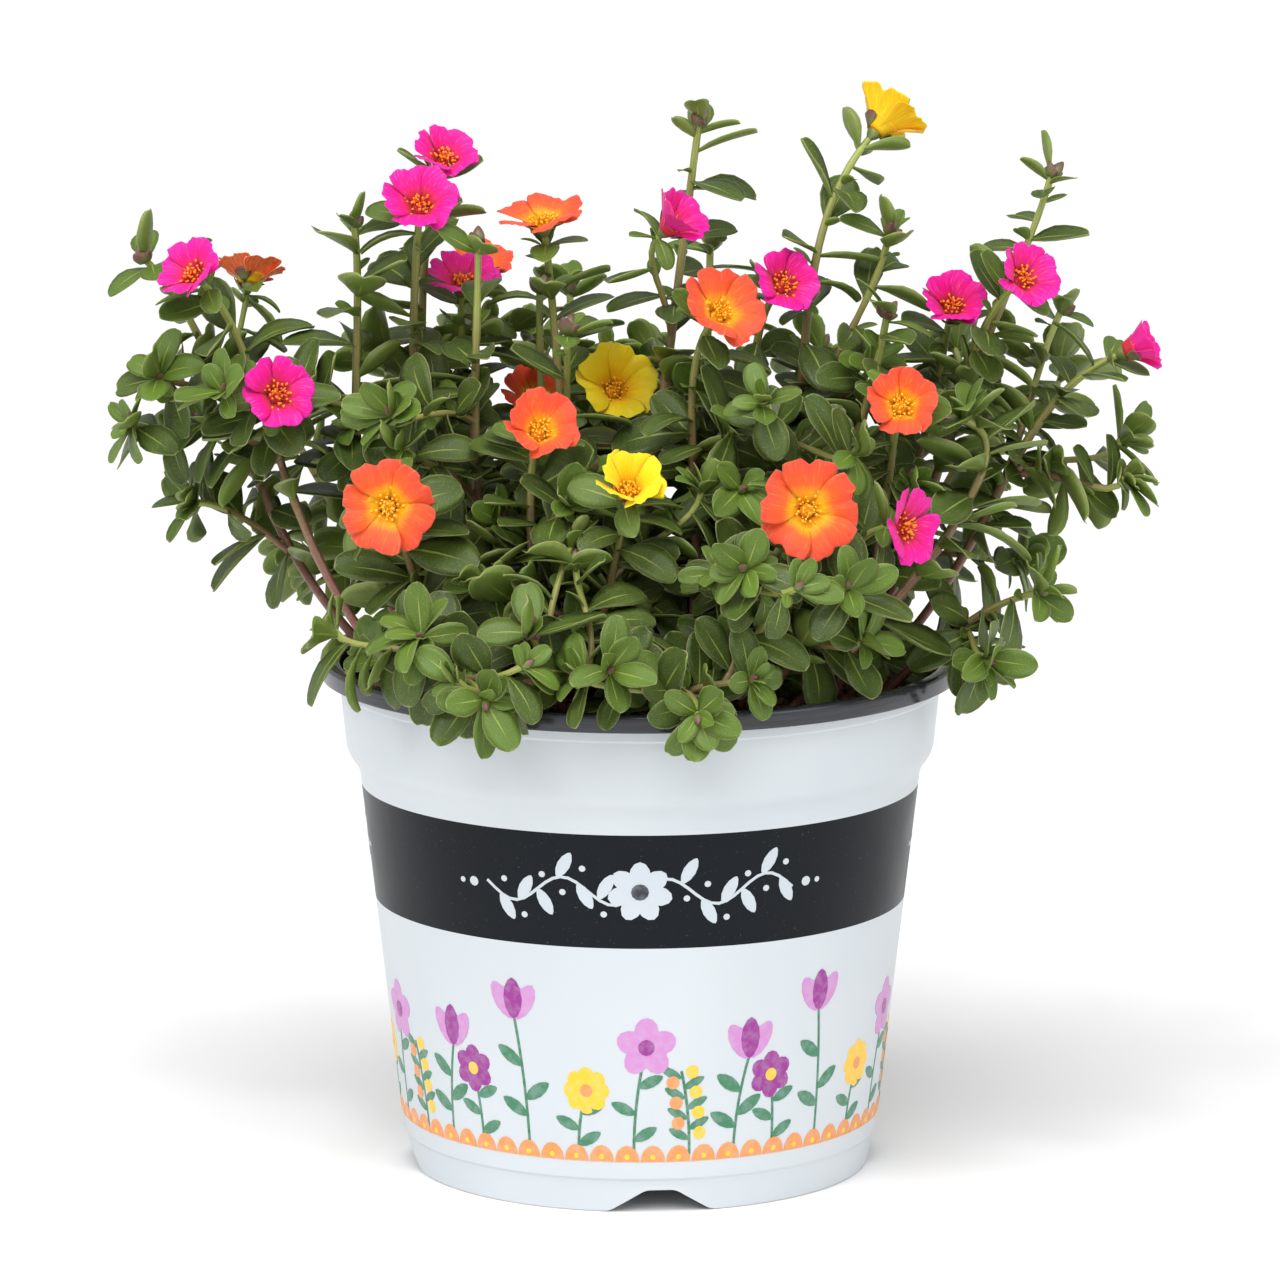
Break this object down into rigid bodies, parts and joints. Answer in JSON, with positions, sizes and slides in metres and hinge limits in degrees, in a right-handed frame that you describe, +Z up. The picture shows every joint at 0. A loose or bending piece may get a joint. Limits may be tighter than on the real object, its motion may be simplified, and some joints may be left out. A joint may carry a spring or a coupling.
{
  "type": "potted flowering purslane",
  "caption": "Bushy flowering purslane (portulaca) with magenta, orange and yellow blooms in a round notched-foot nursery pot.",
  "frame": {"origin": "on the floor under the middle of the whole plant and pot, on the pot's axis", "axes": "+Z up along the pot's axis, -Y towards the viewer, +X to the viewer's right"},
  "size_m": [0.3233, 0.2349, 0.3343],
  "materials": {
    "pot_plastic": "satin white injection-moulded polypropylene, dark inside and at the rim",
    "potting_mix": "coarse bark and coir potting mix",
    "foliage": "fleshy satin leaves and stems",
    "petal_magenta": "thin silky petals",
    "petal_orange": "thin silky petals",
    "petal_yellow": "thin silky petals"
  },
  "bodies": {
    "root": {"bloom_magenta_01": "petal_magenta", "bloom_magenta_02": "petal_magenta", "bloom_magenta_03": "petal_magenta", "bloom_magenta_04": "petal_magenta", "bloom_magenta_05": "petal_magenta", "bloom_magenta_06": "petal_magenta", "bloom_magenta_07": "petal_magenta", "bloom_magenta_08": "petal_magenta", "bloom_magenta_09": "petal_magenta", "bloom_magenta_10": "petal_magenta", "bloom_magenta_11": "petal_magenta", "bloom_orange_01": "petal_orange", "bloom_orange_02": "petal_orange", "bloom_orange_03": "petal_orange", "bloom_orange_04": "petal_orange", "bloom_orange_05": "petal_orange", "bloom_orange_06": "petal_orange", "bloom_orange_07": "petal_orange", "bloom_orange_08": "petal_orange", "bloom_orange_09": "petal_orange", "bloom_yellow_01": "petal_yellow", "bloom_yellow_02": "petal_yellow", "bloom_yellow_03": "petal_yellow", "pot": "pot_plastic", "soil": "potting_mix", "stem_arching": "foliage", "stem_back_left": "foliage", "stem_back_middle": "foliage", "stem_back_right": "foliage", "stem_brown_upright": "foliage", "stem_centre_back": "foliage", "stem_centre_low_flower": "foliage", "stem_centre_right": "foliage", "stem_centre_right_back": "foliage", "stem_front_centre": "foliage", "stem_front_hanging": "foliage", "stem_front_left_big": "foliage", "stem_front_right": "foliage", "stem_front_right_big": "foliage", "stem_front_yellow": "foliage", "stem_high_back": "foliage", "stem_left_far": "foliage", "stem_left_front": "foliage", "stem_left_inner": "foliage", "stem_left_inner_front": "foliage", "stem_left_rosette": "foliage", "stem_left_upright": "foliage", "stem_right_far": "foliage", "stem_right_flower": "foliage", "stem_right_high": "foliage", "stem_right_inner": "foliage", "stem_right_low": "foliage", "stem_right_mid": "foliage", "stem_side_left_back": "foliage", "stem_side_right_back": "foliage", "stem_tall_left": "foliage", "stem_tall_left_back": "foliage", "stem_tallest": "foliage", "stem_yellow_inner": "foliage", "stem_yellow_tall": "foliage"}
  },
  "joints": []
}
